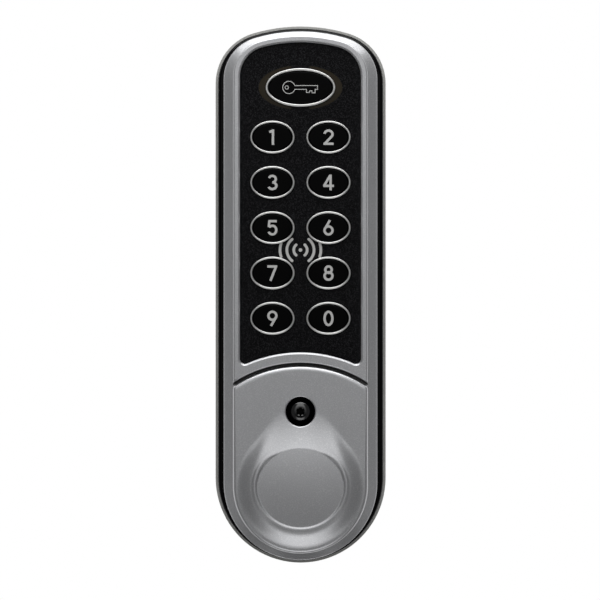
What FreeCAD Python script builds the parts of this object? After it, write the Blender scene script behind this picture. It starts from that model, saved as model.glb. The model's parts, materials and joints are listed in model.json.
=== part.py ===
import FreeCAD, Part
import math
import os

# A keypad lock for a cabinet or locker door. The front unit stands on the outside of the door, its
# barrel goes through the door, and a lever handle below the keypad turns a cam behind it.
#
# The frame: the origin is on the handle's axis at the door's outer face, +X is to the right for a
# person facing the lock, +Z is up, and +Y goes into the door. Depths are written as a height above
# the door, which is -Y, so a piece behind the door's face has a negative height. Sizes are in mm.

# ---- Overall sizes ---------------------------------------------------------------------------------
flange_half_width = 22.2      # the gasket, and the radius of its round lower end
flange_top = 117.8            # from the handle's axis to the top of the gasket
flange_top_radius = 43.4      # of the shallow arch across the top
flange_corner_radius = 13.6   # where that arch meets the straight sides

door_thickness = 18.0
gasket_thickness = 0.8
base_inset = 0.7              # the base flange stops this far inside the gasket's edge
base_thickness = 2.2
flange_edge_radius = 0.9

# ---- Front housing ---------------------------------------------------------------------------------
housing_inset = 2.64          # from the gasket's edge to the housing's wall
housing_wall = 1.8
rim_edge_height = 15.4        # where the upright wall ends and the sloping rim begins
rim_slope_width = 2.4
rim_edge_radius = 0.4         # along the corner between the wall and the slope
deck_height = 17.3            # the flat shelf that the handle turns over
deck_thickness = 1.8

# ---- Raised keypad bezel ---------------------------------------------------------------------------
bezel_side_inset = 5.25       # from the gasket's edge to the bezel's, at the sides
bezel_top_inset = 4.4
bezel_arch_inset = 4.1
bezel_corner_inset = 4.3
bezel_front = 23.1
bezel_wall = 1.7
bezel_edge_radius = 0.45
bezel_lower_rail = 2.6        # the strip between the keypad window and the handle
window_chamfer = 0.40
bezel_groove_width = 0.3      # a shadow line in the deck around the bezel's foot
bezel_groove_depth = 0.35
window_corner_radius = 1.3
fascia_recess = 0.8
fascia_thickness = 1.5
fascia_clearance = 0.05
ledge_width = 0.9
ledge_thickness = 1.0

# ---- Keys ------------------------------------------------------------------------------------------
key_rows = 5
key_half_height = 3.63        # of the opening inside a key's ring
key_side_margin = 2.59        # from a ring to the keypad window's side
key_middle_gap = 2.92         # between the rings of the two columns
key_bottom_margin = 8.6       # from the window's lower edge to the middle of the lowest row
enter_half_height = 4.25
enter_side_margin = 7.05
enter_top_margin = 17.5       # from the gasket's top down to the top key's middle
enter_row_gap = 12.5          # from the top key's middle to the row below
ring_wall = 0.5
enter_ring_wall = 0.6
ring_rise = 0.5               # a ring stands this far above the fascia
ring_edge_radius = 0.18
key_rise = 0.35
key_side_gap = 0.15
key_edge_radius = 0.25
key_flange_lip = 0.7
key_flange_thickness = 0.7
key_flange_gap = 0.15
key_travel = 0.6
plunger_radius = 1.5
plunger_gap = 0.1             # left over when a key is pressed right in

# ---- Status light windows --------------------------------------------------------------------------
led_window_side_margin = 4.7
led_window_half_height = 5.6
led_window_bridge = 4.6       # the strip of fascia left above and below the top key
led_leg_radius = 0.5
led_leg_inset = 0.7

# ---- Circuit board and what is on it ---------------------------------------------------------------
board_thickness = 1.2
board_inset = 1.2             # from the keypad window's edge
switch_size = 3.6
switch_body_height = 0.7
switch_button_radius = 0.9
switch_button_height = 0.2
seal_thickness = 2.0
seal_inset = 3.0
seal_pocket_radius = 2.8
seal_hole_radius = 1.8
seal_skin = 0.8
antenna_width = 1.1
antenna_thickness = 0.3
antenna_gap = 0.35
led_size = 1.6
led_height = 0.6
chip_size = 7.0
chip_height = 1.0
connector_size = 5.0
connector_height = 2.6
buzzer_radius = 4.0
buzzer_height = 2.5

# ---- Batteries -------------------------------------------------------------------------------------
cell_radius = 5.25
cell_length = 44.5
cell_spacing = 0.3
cell_floor_gap = 0.4
cell_side_gap = 0.25
cell_bottom = 53.5
contact_space = 1.5
tray_wall = 1.0
cover_lip = 1.0
cover_thickness = 1.4
cover_clearance = 0.2
cover_tab_half_width = 5.0
cover_tab_length = 5.0
cover_screw_radius = 1.25
cover_screw_head = 2.0
cover_screw_boss = 2.25
cover_screw_gap = 0.4
cover_boss_height = 1.4

# ---- Fastenings ------------------------------------------------------------------------------------
fixing_low = 47.0             # the two screws that come through the door
fixing_top_margin = 8.8
fixing_radius = 1.6
fixing_thread_clearance = 0.05
post_radius = 3.4
post_height = 9.0
fixing_head_radius = 3.5
fixing_head_height = 2.0
fixing_hole_scale = 1.4       # the clearance holes, as a multiple of the screw
cross_slot_reach = 2.2
cross_slot_half_width = 0.4
cross_slot_depth = 1.0
head_round = 0.6              # on the edge of every screw head
housing_screw_radius = 1.2
housing_boss_radius = 2.6
housing_screw_reach = 6.0
low_boss_gap = 1.15           # between the rotor and the two lower bosses
low_boss_drop = 4.0
high_boss_side_margin = 8.2
high_boss_top_margin = 10.8
back_plate_half_width = 15.0
back_plate_thickness = 1.6
back_plate_margin = 6.0

# ---- Barrel, spindle and cam -----------------------------------------------------------------------
barrel_radius = 9.0
barrel_beyond_door = 11.5
thread_inside_door = 6.0      # the thread starts this far inside the door's inner face
barrel_flange_radius = 11.3
barrel_flange_thickness = 1.4
barrel_hole_clearance = 0.2
thread_pitch = 1.5
thread_depth = 0.5
nut_across_flats = 24.0
nut_thickness = 5.0
nut_clearance = 0.05
nut_bevel = 1.0
spindle_radius = 4.5
running_clearance = 0.05
spindle_bush_wall = 1.05
spindle_bush_length = 6.0
square_drive = 6.0            # across the flats of both ends of the spindle
drive_clearance = 0.05
cam_gap = 1.5                 # from the barrel's end to the cam
cam_thickness = 3.0
cam_half_width = 8.0
cam_reach = 45.0
cam_washer_radius = 6.0
cam_washer_thickness = 1.0
cam_screw_radius = 2.0
cam_screw_depth = 8.0
cam_screw_head_radius = 3.6
cam_screw_head_height = 2.4

# ---- Handle ----------------------------------------------------------------------------------------
handle_side_grow = 0.05       # the handle is this much wider than the bezel, each side
handle_top_radius = 30.2      # the top edge is an arc about the axis, so it clears the bezel
handle_bezel_gap = 0.8
handle_deck_gap = 0.5
handle_front = 23.1
handle_corner_radius = 1.0
handle_edge_radius = 0.9
boss_rise = 1.5               # of the round boss that the fingers turn, above the handle's plate
boss_dish_radius = 10.6
boss_dish_depth = 0.25
boss_rim_radius = 11.3
boss_shoulder_radius = 12.1
boss_shoulder_drop = 0.3
boss_foot_radius = 16.4
boss_sweep_out = 0.28         # how far out the hollow of its flank lies, and how high
boss_sweep_up = 0.33
boss_sink = 0.2               # how deep the boss's body runs into the plate
handle_screw_height = 18.75   # above the axis
handle_screw_hole = 3.7
handle_screw_sink = 1.7
handle_screw_radius = 2.0
handle_screw_head = 2.8
handle_screw_head_height = 1.45
screw_socket_size = 2.5
screw_socket_depth = 1.0

# ---- Handle hub, rotor and lock pin ----------------------------------------------------------------
hub_neck_radius = 8.0
hub_plate_radius = 9.5
hub_arm_half_width = 4.5
hub_arm_margin = 4.6
hub_plate_thickness = 2.3
hub_fit = 0.1
hub_bush_wall = 1.5
hub_bush_flange = 0.8
hub_bush_lip = 2.0
hub_seat_radius = 6.0
hub_tail = 1.5
washer_gap = 0.35
washer_thickness = 0.4
rotor_radius = 11.0
rotor_thickness = 4.6
rotor_notch_depth = 3.0
rotor_pin_gap = 0.4
circlip_thickness = 0.7
circlip_wall = 2.0
circlip_groove = 0.6
pin_half_width = 3.0
pin_thickness = 3.6
pin_travel = 3.0
pin_side_gap = 0.3
seal_ring_inner = 11.0
seal_ring_width = 1.6
seal_ring_depth = 1.0
seal_ring_gap = 0.15
gap_seal_clearance = 0.25     # between the handle's arched end and the strip in its gap
gap_seal_sink = 1.6           # how far the strip stays below the bezel's front

# ---- Motor -----------------------------------------------------------------------------------------
motor_half_width = 6.0
motor_thickness = 7.0
motor_length = 20.0
motor_bottom = 21.5           # the motor's lower end, above the handle's axis
motor_gap = 2.0               # between the retracted lock pin and the motor
motor_socket_depth = 2.4
motor_corner = 1.0
motor_stub_radius = 1.8
motor_stub_length = 0.8
lead_screw_radius = 1.2
lead_screw_root = 0.95
lead_screw_pitch = 1.0
lead_screw_tip_gap = 0.7
lead_screw_collar = 1.0
pin_bore_floor = 1.1
bracket_floor = 1.0
bracket_cheek = 1.3
bracket_rail = 1.8
bracket_rim = 1.6
bracket_fit = 0.1
bracket_cheek_rise = 1.0      # above the motor's middle
bracket_end_gap = 0.6

# ---- Levels, worked out from the sizes above, as heights above the door ------------------------------
base_front = gasket_thickness + base_thickness
deck_back = deck_height - deck_thickness
fascia_front = bezel_front - fascia_recess
fascia_back = fascia_front - fascia_thickness
ledge_back = fascia_back - ledge_thickness
key_flange_front = fascia_back - key_flange_gap
key_flange_back = key_flange_front - key_flange_thickness
seal_front = key_flange_back - key_travel - key_flange_gap
board_front = seal_front - seal_thickness
board_back = board_front - board_thickness
switch_top = board_front + switch_body_height + switch_button_height
plunger_end = switch_top + key_travel + plunger_gap

handle_back = deck_height + handle_deck_gap
boss_front = handle_front + boss_rise
hub_plate_back = handle_back + hub_fit
hub_plate_front = hub_plate_back + hub_plate_thickness
hub_bush_back = deck_back - hub_bush_flange
hub_shoulder = hub_bush_back - washer_gap
rotor_front = hub_shoulder - washer_thickness
rotor_back = rotor_front - rotor_thickness
circlip_front = rotor_back
circlip_back = circlip_front - circlip_thickness
hub_back = circlip_back - hub_tail
mechanism_height = (rotor_front + rotor_back) / 2

barrel_back = -door_thickness - barrel_beyond_door
thread_start = thread_inside_door - door_thickness
barrel_front = base_front + barrel_flange_thickness
back_plate_front = -door_thickness
back_plate_back = back_plate_front - back_plate_thickness
cam_front = barrel_back - cam_gap
cam_back = cam_front - cam_thickness

# ---- Places across the lock --------------------------------------------------------------------------
bezel_half_width = flange_half_width - bezel_side_inset
bezel_top = flange_top - bezel_top_inset
bezel_top_radius = flange_top_radius - bezel_arch_inset
bezel_corner_radius = flange_corner_radius - bezel_corner_inset
handle_half_width = bezel_half_width + handle_side_grow
bezel_low_radius = handle_top_radius + handle_bezel_gap
window_low_radius = bezel_low_radius + bezel_lower_rail
window_half_width = bezel_half_width - bezel_wall

key_half_width = (window_half_width - key_side_margin - key_middle_gap / 2) / 2 - ring_wall
key_column_offset = key_middle_gap / 2 + ring_wall + key_half_width
enter_half_width = window_half_width - enter_side_margin
enter_row = flange_top - enter_top_margin
key_bottom_row = window_low_radius + key_bottom_margin
key_row_pitch = (enter_row - enter_row_gap - key_bottom_row) / (key_rows - 1)
led_window_half_width = window_half_width - led_window_side_margin
led_offset = led_window_half_width - led_leg_inset
fixing_high = flange_top - fixing_top_margin

pin_tip = rotor_radius + rotor_pin_gap
pin_top = motor_bottom - motor_gap
motor_top = motor_bottom + motor_length

cell_pitch = 2 * cell_radius + cell_spacing
cell_room = 2 * (flange_half_width - housing_inset - housing_wall - tray_wall)
cell_count = int(cell_room / cell_pitch)
tray_half_width = (cell_count - 1) / 2 * cell_pitch + cell_radius + cell_side_gap
tray_bottom = cell_bottom - contact_space
tray_top = cell_bottom + cell_length + contact_space
cover_top = tray_top + cover_lip + cover_tab_length
cover_screw_z = tray_top + tray_wall + cover_screw_boss + cover_screw_gap
cell_height = base_front + cell_floor_gap + cell_radius

low_boss_radius = rotor_radius + low_boss_gap + housing_boss_radius
boss_low_place = (math.sqrt(low_boss_radius ** 2 - low_boss_drop ** 2), -low_boss_drop)
boss_high_place = (flange_half_width - high_boss_side_margin, flange_top - high_boss_top_margin)
housing_screw_places = [
    (side * x, z) for x, z in (boss_low_place, boss_high_place) for side in (-1, 1)
]
key_places = [
    (side * key_column_offset, key_bottom_row + row * key_row_pitch)
    for row in reversed(range(key_rows)) for side in (-1, 1)
]
key_names = ["1", "2", "3", "4", "5", "6", "7", "8", "9", "0"]
all_key_places = key_places + [(0.0, enter_row)]

flange_outline = (flange_half_width, flange_top, flange_top_radius, flange_corner_radius)
bezel_outline = (bezel_half_width, bezel_top, bezel_top_radius, bezel_corner_radius)


# ---- Shapes that repeat ------------------------------------------------------------------------------
def at(x, height, z):
    """A point: across, above the door, and up."""
    return FreeCAD.Vector(x, -height, z)


def inset(outline, distance):
    """The same outline drawn further in by a distance."""
    return tuple(size - distance for size in outline)


def outline_wire(outline, height):
    """A round lower end about the axis, straight sides, and an arched top with round corners."""
    half_width, top, top_radius, corner_radius = outline
    arch_z = top - top_radius
    reach = top_radius - corner_radius
    corner_x = half_width - corner_radius
    corner_z = arch_z + math.sqrt(reach ** 2 - corner_x ** 2)
    lean = math.atan2(corner_x, corner_z - arch_z)

    def on_arch(angle):
        return at(top_radius * math.sin(angle), height, arch_z + top_radius * math.cos(angle))

    def on_corner(side, angle):
        x = corner_x + corner_radius * math.sin(angle)
        return at(side * x, height, corner_z + corner_radius * math.cos(angle))

    middle = (lean + math.pi / 2) / 2
    sides = [at(side * half_width, height, z) for side in (-1, 1) for z in (0, corner_z)]
    low_left, high_left, low_right, high_right = sides
    return Part.Wire([
        Part.Arc(low_right, at(0, height, -half_width), low_left).toShape(),
        Part.LineSegment(low_left, high_left).toShape(),
        Part.Arc(high_left, on_corner(-1, middle), on_corner(-1, lean)).toShape(),
        Part.Arc(on_arch(-lean), on_arch(0), on_arch(lean)).toShape(),
        Part.Arc(on_corner(1, lean), on_corner(1, middle), high_right).toShape(),
        Part.LineSegment(high_right, low_right).toShape(),
    ])


def slab(outline, low, high):
    """A plate of the lock's outline between two heights."""
    return Part.Face(outline_wire(outline, low)).extrude(FreeCAD.Vector(0, low - high, 0))


def rod(radius, low, high, x=0.0, z=0.0):
    """A round bar that stands out from the door."""
    return Part.makeCylinder(radius, high - low, at(x, low, z), FreeCAD.Vector(0, -1, 0))


def upright(radius, bottom, top, height, x=0.0):
    """A round bar along the lock's length."""
    return Part.makeCylinder(radius, top - bottom, at(x, height, bottom), FreeCAD.Vector(0, 0, 1))


def block(left, right, low, high, bottom, top):
    """A box between two sides, two heights above the door, and two levels up the lock."""
    corner = at(left, high, bottom)
    return Part.makeBox(right - left, high - low, top - bottom, corner)


def oval(half_width, half_height, low, high, x=0.0, z=0.0):
    """A plate with an elliptical outline."""
    ellipse = Part.Ellipse(at(x + half_width, low, z), at(x, low, z + half_height), at(x, low, z))
    face = Part.Face(Part.Wire([ellipse.toShape()]))
    return face.extrude(FreeCAD.Vector(0, low - high, 0))


def turned(profile):
    """A solid turned about the handle's axis from corners given as radius and height."""
    points = [at(radius, height, 0) for radius, height in profile]
    face = Part.Face(Part.makePolygon(points + points[:1]))
    return face.revolve(FreeCAD.Vector(0, 0, 0), FreeCAD.Vector(0, 1, 0), 360)


def hexagon(across_flats, low, high, x=0.0, z=0.0):
    """A six-sided prism that stands out from the door."""
    radius = across_flats / math.sqrt(3)
    corners = [
        at(x + radius * math.sin(math.radians(60 * k)), low, z + radius * math.cos(math.radians(60 * k)))
        for k in range(6)
    ]
    face = Part.Face(Part.makePolygon(corners + corners[:1]))
    return face.extrude(FreeCAD.Vector(0, low - high, 0))


def above_axis_arc(solid, radius):
    """What is left of a plate outside a circle about the handle's axis."""
    return solid.cut(rod(radius, -1000, 1000))


def join(shapes):
    return shapes[0].multiFuse(shapes[1:]).removeSplitter()


def level_at(pieces, height):
    """The faces or edges, out of a list, that lie wholly at one height above the door."""
    return [piece for piece in pieces
            if abs(piece.BoundBox.YMin + height) < 1e-6 and abs(piece.BoundBox.YMax + height) < 1e-6]


def edges_at(solid, height):
    return level_at(solid.Edges, height)


def edges_along_depth(solid, half_width, axis_radius):
    """The two edges that run straight out from the door where a side meets an arc about the axis."""
    z = math.sqrt(axis_radius ** 2 - half_width ** 2)
    found = []
    for edge in solid.Edges:
        centre = edge.CenterOfMass
        if abs(abs(centre.x) - half_width) < 1e-4 and abs(centre.z - z) < 1e-4:
            found.append(edge)
    return found


def window_plate(distance, low, high):
    """The keypad window's outline, drawn in by a distance, as a plate with small lower corners."""
    outline = inset(bezel_outline, bezel_wall + distance)
    plate = above_axis_arc(slab(outline, low, high), window_low_radius + distance)
    corners = edges_along_depth(plate, outline[0], window_low_radius + distance)
    return plate.makeFillet(window_corner_radius, corners)


def pierced(solid, places, radius, low, high):
    """A solid with the same round hole at each place."""
    return solid.cut(join([rod(radius, low, high, x, z) for x, z in places]))


def screw(x, z, radius, tip, head_seat, head_end, head_radius):
    """A screw that comes from behind: a shank out to its tip, and a head behind its seat."""
    return join([rod(radius, head_seat, tip, x, z), rod(head_radius, head_end, head_seat, x, z)])


# ---- Base, gasket and housing ------------------------------------------------------------------------
def cover_block(grow, low, high):
    """The battery cover's outline: a rectangle with a tab at the top for its screw."""
    side = tray_half_width + cover_lip + grow
    plate = block(-side, side, low, high, tray_bottom - cover_lip - grow, tray_top + cover_lip + grow)
    tab_side = cover_tab_half_width + grow
    return join([plate, block(-tab_side, tab_side, low, high, tray_top, cover_top + grow)])


def door_gasket():
    pad = slab(flange_outline, 0, gasket_thickness)
    pad = pad.cut(cover_block(cover_clearance * 2, 0, gasket_thickness))
    pad = pad.cut(rod(barrel_radius + barrel_hole_clearance, 0, gasket_thickness))
    fixings = [(0, fixing_low), (0, fixing_high)]
    return pierced(pad, fixings, fixing_radius * fixing_hole_scale, 0, gasket_thickness)


def base_plate():
    plate = slab(inset(flange_outline, base_inset), gasket_thickness, base_front)
    plate = plate.makeFillet(flange_edge_radius, edges_at(plate, base_front))
    posts = [rod(post_radius, base_front - 0.5, base_front + post_height, 0, z)
             for z in (fixing_low, fixing_high)]
    boss = rod(cover_screw_boss, base_front - 0.5, base_front + cover_boss_height, 0, cover_screw_z)
    plate = join([plate, boss] + posts)
    plate = plate.cut(cover_block(cover_clearance, 0, gasket_thickness + cover_thickness))
    plate = plate.cut(block(-tray_half_width, tray_half_width, 0, base_front, tray_bottom, tray_top))
    plate = plate.cut(rod(cover_screw_radius, 0, base_front + cover_boss_height, 0, cover_screw_z))
    plate = plate.cut(rod(barrel_radius, 0, base_front))
    thread = fixing_radius + fixing_thread_clearance
    for z in (fixing_low, fixing_high):
        plate = plate.cut(rod(thread, 0, base_front + post_height, 0, z))
    for x, z in housing_screw_places:
        plate = plate.cut(housing_screw(x, z))
    return plate


def housing_screw(x, z):
    """A countersunk screw from behind the base plate into a boss of the housing."""
    head = Part.makeCone(housing_screw_radius * 1.9, housing_screw_radius, 1.0,
                         at(x, gasket_thickness, z), FreeCAD.Vector(0, -1, 0))
    return join([head, rod(housing_screw_radius, gasket_thickness, base_front + housing_screw_reach, x, z)])


def rim_body():
    """The outer wall with its sloping rim, up to the deck."""
    outline = inset(flange_outline, housing_inset)
    wall = slab(outline, base_front, rim_edge_height)
    face = outline_wire(outline, rim_edge_height)
    shelf = outline_wire(inset(outline, rim_slope_width), deck_height)
    body = join([wall, Part.makeLoft([face, shelf], True, True)])
    return body.makeFillet(rim_edge_radius, edges_at(body, rim_edge_height))


def bezel_body():
    """The raised frame around the keypad: a rounded outer edge, and a bevel down to the fascia."""
    frame = above_axis_arc(slab(bezel_outline, deck_back, bezel_front), bezel_low_radius)
    frame = frame.makeFillet(bezel_edge_radius, edges_at(frame, bezel_front))
    frame = frame.cut(window_plate(0, fascia_back, bezel_front))
    front_face = level_at(frame.Faces, bezel_front)[0]
    rim = front_face.OuterWire.Edges
    inner = [edge for edge in front_face.Edges if not any(edge.isSame(other) for other in rim)]
    return frame.makeChamfer(window_chamfer, inner)


def front_housing():
    housing = join([rim_body(), bezel_body()])
    outline = inset(flange_outline, housing_inset + housing_wall)
    housing = housing.cut(slab(outline, 0, deck_back))
    well = inset(bezel_outline, bezel_wall - 0.1)
    housing = housing.cut(above_axis_arc(slab(well, deck_back - 1, ledge_back),
                                         window_low_radius - 0.5))
    housing = housing.cut(window_plate(ledge_width, ledge_back - 1, fascia_back + 0.5))
    bosses = [rod(housing_boss_radius, base_front, deck_back + 0.2, x, z)
              for x, z in housing_screw_places]
    housing = join([housing] + bosses)
    housing = pierced(housing, housing_screw_places, housing_screw_radius, base_front,
                      base_front + housing_screw_reach)
    housing = housing.cut(rod(hub_neck_radius + running_clearance + hub_bush_wall, 0, deck_height))
    foot = slab(inset(bezel_outline, -bezel_groove_width), deck_height - bezel_groove_depth, bezel_front)
    housing = housing.cut(above_axis_arc(foot.cut(slab(bezel_outline, 0, bezel_front)), bezel_low_radius))
    groove = ring(seal_ring_inner, seal_ring_inner + seal_ring_width,
                  deck_height - seal_ring_depth, deck_height)
    return housing.cut(groove)


def ring(inner, outer, low, high):
    return rod(outer, low, high).cut(rod(inner, low, high))


# ---- Fascia, rings, light windows and keys -----------------------------------------------------------
def oval_ring(half_width, half_height, wall, x, z):
    """A bright ring set through the fascia, with both of its front edges rounded."""
    top = fascia_front + ring_rise
    outer = oval(half_width + wall, half_height + wall, fascia_back, top, x, z)
    tube = outer.cut(oval(half_width, half_height, fascia_back, top, x, z))
    return tube.makeFillet(ring_edge_radius, edges_at(tube, top))


def crescent(side):
    """One smoked light window beside the top key, with a light guide behind it."""
    plate = oval(led_window_half_width, led_window_half_height, fascia_back, fascia_front, 0, enter_row)
    plate = plate.cut(oval(enter_half_width + enter_ring_wall, enter_half_height + enter_ring_wall,
                           fascia_back, fascia_front, 0, enter_row))
    near, far = sorted((side * led_window_bridge / 2, side * 100.0))
    half = plate.common(block(near, far, fascia_back, fascia_front, 0, flange_top))
    guide = rod(led_leg_radius, board_front + led_height + 0.1, fascia_back + 0.1,
                side * led_offset, enter_row)
    return join([half, guide])


def keypad_fascia():
    plate = window_plate(fascia_clearance, fascia_back, fascia_front)
    holes = [oval(key_half_width + ring_wall, key_half_height + ring_wall, fascia_back, fascia_front, x, z)
             for x, z in key_places]
    holes.append(oval(enter_half_width + enter_ring_wall, enter_half_height + enter_ring_wall,
                      fascia_back, fascia_front, 0, enter_row))
    plate = plate.cut(Part.makeCompound(holes))
    return plate.cut(Part.makeCompound([crescent(-1), crescent(1)]))


def key_cap(half_width, half_height, x, z):
    """A key: its face, the flange that keeps it behind the fascia, and its plunger."""
    face_top = fascia_front + key_rise
    wide, high = half_width - key_side_gap, half_height - key_side_gap
    cap = oval(wide, high, key_flange_back, face_top, x, z)
    cap = cap.makeFillet(key_edge_radius, edges_at(cap, face_top))
    flange = oval(wide + key_flange_lip, high + key_flange_lip, key_flange_back, key_flange_front, x, z)
    return join([cap, flange, rod(plunger_radius, plunger_end, key_flange_back, x, z)])


# ---- Circuit board and what is on it -----------------------------------------------------------------
def key_seal():
    """A silicone pad with a stepped hole around each switch and plunger."""
    pad = window_plate(seal_inset, board_front, seal_front)
    for x, z in all_key_places:
        pad = pad.cut(rod(seal_pocket_radius, board_front, seal_front - seal_skin, x, z))
        pad = pad.cut(rod(seal_hole_radius, board_front, seal_front, x, z))
    for side in (-1, 1):
        pad = pad.cut(rod(led_size, board_front, seal_front, side * led_offset, enter_row))
    return pad


def circuit_board():
    return window_plate(board_inset, board_back, board_front)


def key_switch(x, z):
    half = switch_size / 2
    body = block(x - half, x + half, board_front, board_front + switch_body_height, z - half, z + half)
    return join([body, rod(switch_button_radius, board_front, switch_top, x, z)])


def status_led(side):
    x = side * led_offset
    return block(x - led_size / 2, x + led_size / 2, board_front, board_front + led_height,
                 enter_row - led_size / 4, enter_row + led_size / 4)


def board_components():
    """A controller, a memory chip and the motor's connector, on the back of the board."""
    middle = (window_low_radius + board_inset + tray_bottom) / 2 + 1.5
    chips = [block(x - size / 2, x + size / 2, board_back - chip_height, board_back,
                   middle - size / 2, middle + size / 2)
             for x, size in ((-8.0, chip_size), (0.0, chip_size * 0.6))]
    plug_low = window_low_radius + board_inset + 1.0
    connector = block(10.5 - connector_size / 2, 10.5 + connector_size / 2,
                      board_back - connector_height, board_back, plug_low, plug_low + connector_size * 0.8)
    return Part.makeCompound(chips + [connector])


def buzzer():
    z = tray_bottom - tray_wall - buzzer_radius - 0.8
    return rod(buzzer_radius, board_back - buzzer_height, board_back, 9.3, z)


def antenna_coil():
    outer_inset = board_inset + antenna_gap
    loop = window_plate(outer_inset, board_front, board_front + antenna_thickness)
    return loop.cut(window_plate(outer_inset + antenna_width, board_front,
                                 board_front + antenna_thickness))


# ---- Batteries ---------------------------------------------------------------------------------------
def battery_tray():
    side = tray_half_width + tray_wall
    ends = (tray_bottom - tray_wall, tray_top + tray_wall)
    outer = block(-side, side, base_front, deck_back, *ends)
    rest_side = min(side, window_half_width - cell_side_gap)
    outer = join([outer, block(-rest_side, rest_side, deck_back - 0.5, board_back, *ends)])
    roof = cell_height + cell_radius + cell_floor_gap
    return outer.cut(block(-tray_half_width, tray_half_width, base_front, roof, tray_bottom, tray_top))


def battery_places():
    return [(column - (cell_count - 1) / 2) * cell_pitch for column in range(cell_count)]


def battery(x):
    """One cell with its raised positive cap."""
    cap_length = 1.0
    can = upright(cell_radius, cell_bottom, cell_bottom + cell_length - cap_length, cell_height, x)
    cap = upright(cell_radius * 0.36, cell_bottom, cell_bottom + cell_length, cell_height, x)
    return join([can, cap])


def battery_contact(x):
    """The sprung contact at a cell's lower end and the flat one at its cap."""
    coil = upright(cell_radius * 0.55, tray_bottom, cell_bottom, cell_height, x)
    coil = coil.cut(upright(cell_radius * 0.4, tray_bottom, cell_bottom, cell_height, x))
    tab = block(x - 3.0, x + 3.0, cell_height - 3.0, cell_height + 3.0, tray_top - 0.4, tray_top)
    nose = upright(cell_radius * 0.3, cell_bottom + cell_length, tray_top, cell_height, x)
    return Part.makeCompound([coil, join([tab, nose])])


def battery_cover():
    cover = cover_block(0, gasket_thickness, gasket_thickness + cover_thickness)
    return cover.cut(battery_cover_screw())


def battery_cover_screw():
    head = Part.makeCone(cover_screw_head, cover_screw_radius, 0.8,
                         at(0, gasket_thickness, cover_screw_z), FreeCAD.Vector(0, -1, 0))
    return join([head, rod(cover_screw_radius, gasket_thickness, base_front + 1.2, 0, cover_screw_z)])


# ---- Barrel, back plate and nut ----------------------------------------------------------------------
def barrel():
    """The sleeve through the door: a flange inside the housing, a plain neck, and a thread."""
    profile = [(0, barrel_front), (barrel_flange_radius, barrel_front),
               (barrel_flange_radius, base_front), (barrel_radius, base_front),
               (barrel_radius, thread_start)]
    height = thread_start
    while height - thread_pitch > barrel_back:
        root = barrel_radius - thread_depth
        profile += [(root, height - thread_pitch / 2), (barrel_radius, height - thread_pitch)]
        height -= thread_pitch
    profile += [(barrel_radius, barrel_back), (0, barrel_back)]
    bore = spindle_radius + running_clearance + spindle_bush_wall
    return turned(profile).cut(rod(bore, barrel_back, barrel_front))


def spindle_bushes():
    inner = spindle_radius + running_clearance
    outer = inner + spindle_bush_wall
    return Part.makeCompound([
        ring(inner, outer, barrel_front - spindle_bush_length, barrel_front),
        ring(inner, outer, barrel_back, barrel_back + spindle_bush_length),
    ])


def back_plate():
    """The plate behind the door that the nut and the fixing screws pull against."""
    bottom, top = -back_plate_half_width, fixing_high + back_plate_margin
    plate = block(-back_plate_half_width, back_plate_half_width, back_plate_back, back_plate_front,
                  0, top)
    corners = [edge for edge in plate.Edges
               if edge.BoundBox.XLength < 1e-6 and edge.BoundBox.ZLength < 1e-6
               and edge.BoundBox.ZMin > top - 1e-6]
    plate = plate.makeFillet(back_plate_margin, corners)
    plate = join([plate, rod(-bottom, back_plate_back, back_plate_front)])
    plate = plate.cut(rod(barrel_radius + barrel_hole_clearance, back_plate_back, back_plate_front))
    return pierced(plate, [(0, fixing_low), (0, fixing_high)], fixing_radius * fixing_hole_scale,
                   back_plate_back, back_plate_front)


def barrel_nut():
    nut = hexagon(nut_across_flats, back_plate_back - nut_thickness, back_plate_back)
    nut_back = back_plate_back - nut_thickness
    corner = nut_across_flats / math.sqrt(3)
    bevel = turned([(0, back_plate_back), (corner, back_plate_back), (corner, nut_back + nut_bevel),
                    (nut_across_flats / 2, nut_back), (0, nut_back)])
    return nut.common(bevel).cut(rod(barrel_radius + nut_clearance, -100, 0))


def fixing_screw(z):
    """A pan-headed screw from behind the back plate, through the door, into a post of the base."""
    tip = base_front + post_height - 2.0
    head_end = back_plate_back - fixing_head_height
    body = screw(0, z, fixing_radius, tip, back_plate_back, head_end, fixing_head_radius)
    body = body.makeFillet(head_round, edges_at(body, head_end))
    floor = head_end + cross_slot_depth
    long, short = cross_slot_reach, cross_slot_half_width
    body = body.cut(block(-long, long, head_end, floor, z - short, z + short))
    return body.cut(block(-short, short, head_end, floor, z - long, z + long))


# ---- Handle and hub ----------------------------------------------------------------------------------
def hub_arm(grow):
    """The flat plate of the hub, with an arm that reaches up to the handle's screw."""
    low, high = hub_plate_back - grow, hub_plate_front + grow
    arm_top = handle_screw_height + hub_arm_margin + grow
    side = hub_arm_half_width + grow
    return join([rod(hub_plate_radius + grow, low, high), block(-side, side, low, high, 0, arm_top)])


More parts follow.
